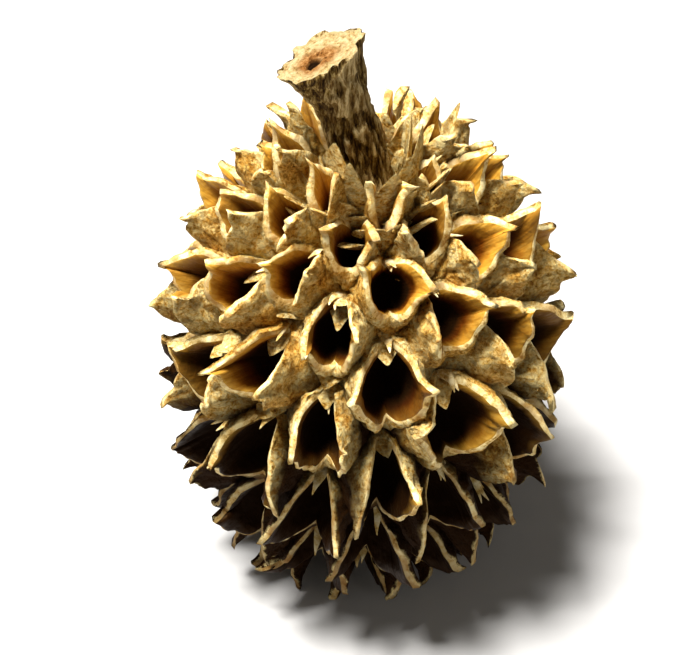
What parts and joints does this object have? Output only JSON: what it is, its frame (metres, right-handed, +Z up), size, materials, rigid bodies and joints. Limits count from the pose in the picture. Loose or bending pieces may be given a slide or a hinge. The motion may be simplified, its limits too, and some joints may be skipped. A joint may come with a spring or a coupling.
{
  "type": "casuarina cone",
  "caption": "Dry woody casuarina cone with whorls of open two-valved fruits and a short stalk, standing upright on its apex.",
  "frame": {"origin": "middle of the small flat spot on the apex that the cone stands on", "axes": "+Z up along the head towards the stalk, -X towards the side that the stalk bends to"},
  "size_m": [0.0302, 0.0304, 0.0461],
  "materials": {
    "woody_bracts": "dry, rough and mottled outside, smooth satin inside the valves",
    "stalk_bark": "rough, flaking bark with a pale cut end"
  },
  "bodies": {
    "root": {"cone": "woody_bracts", "stem": "stalk_bark"}
  },
  "joints": []
}
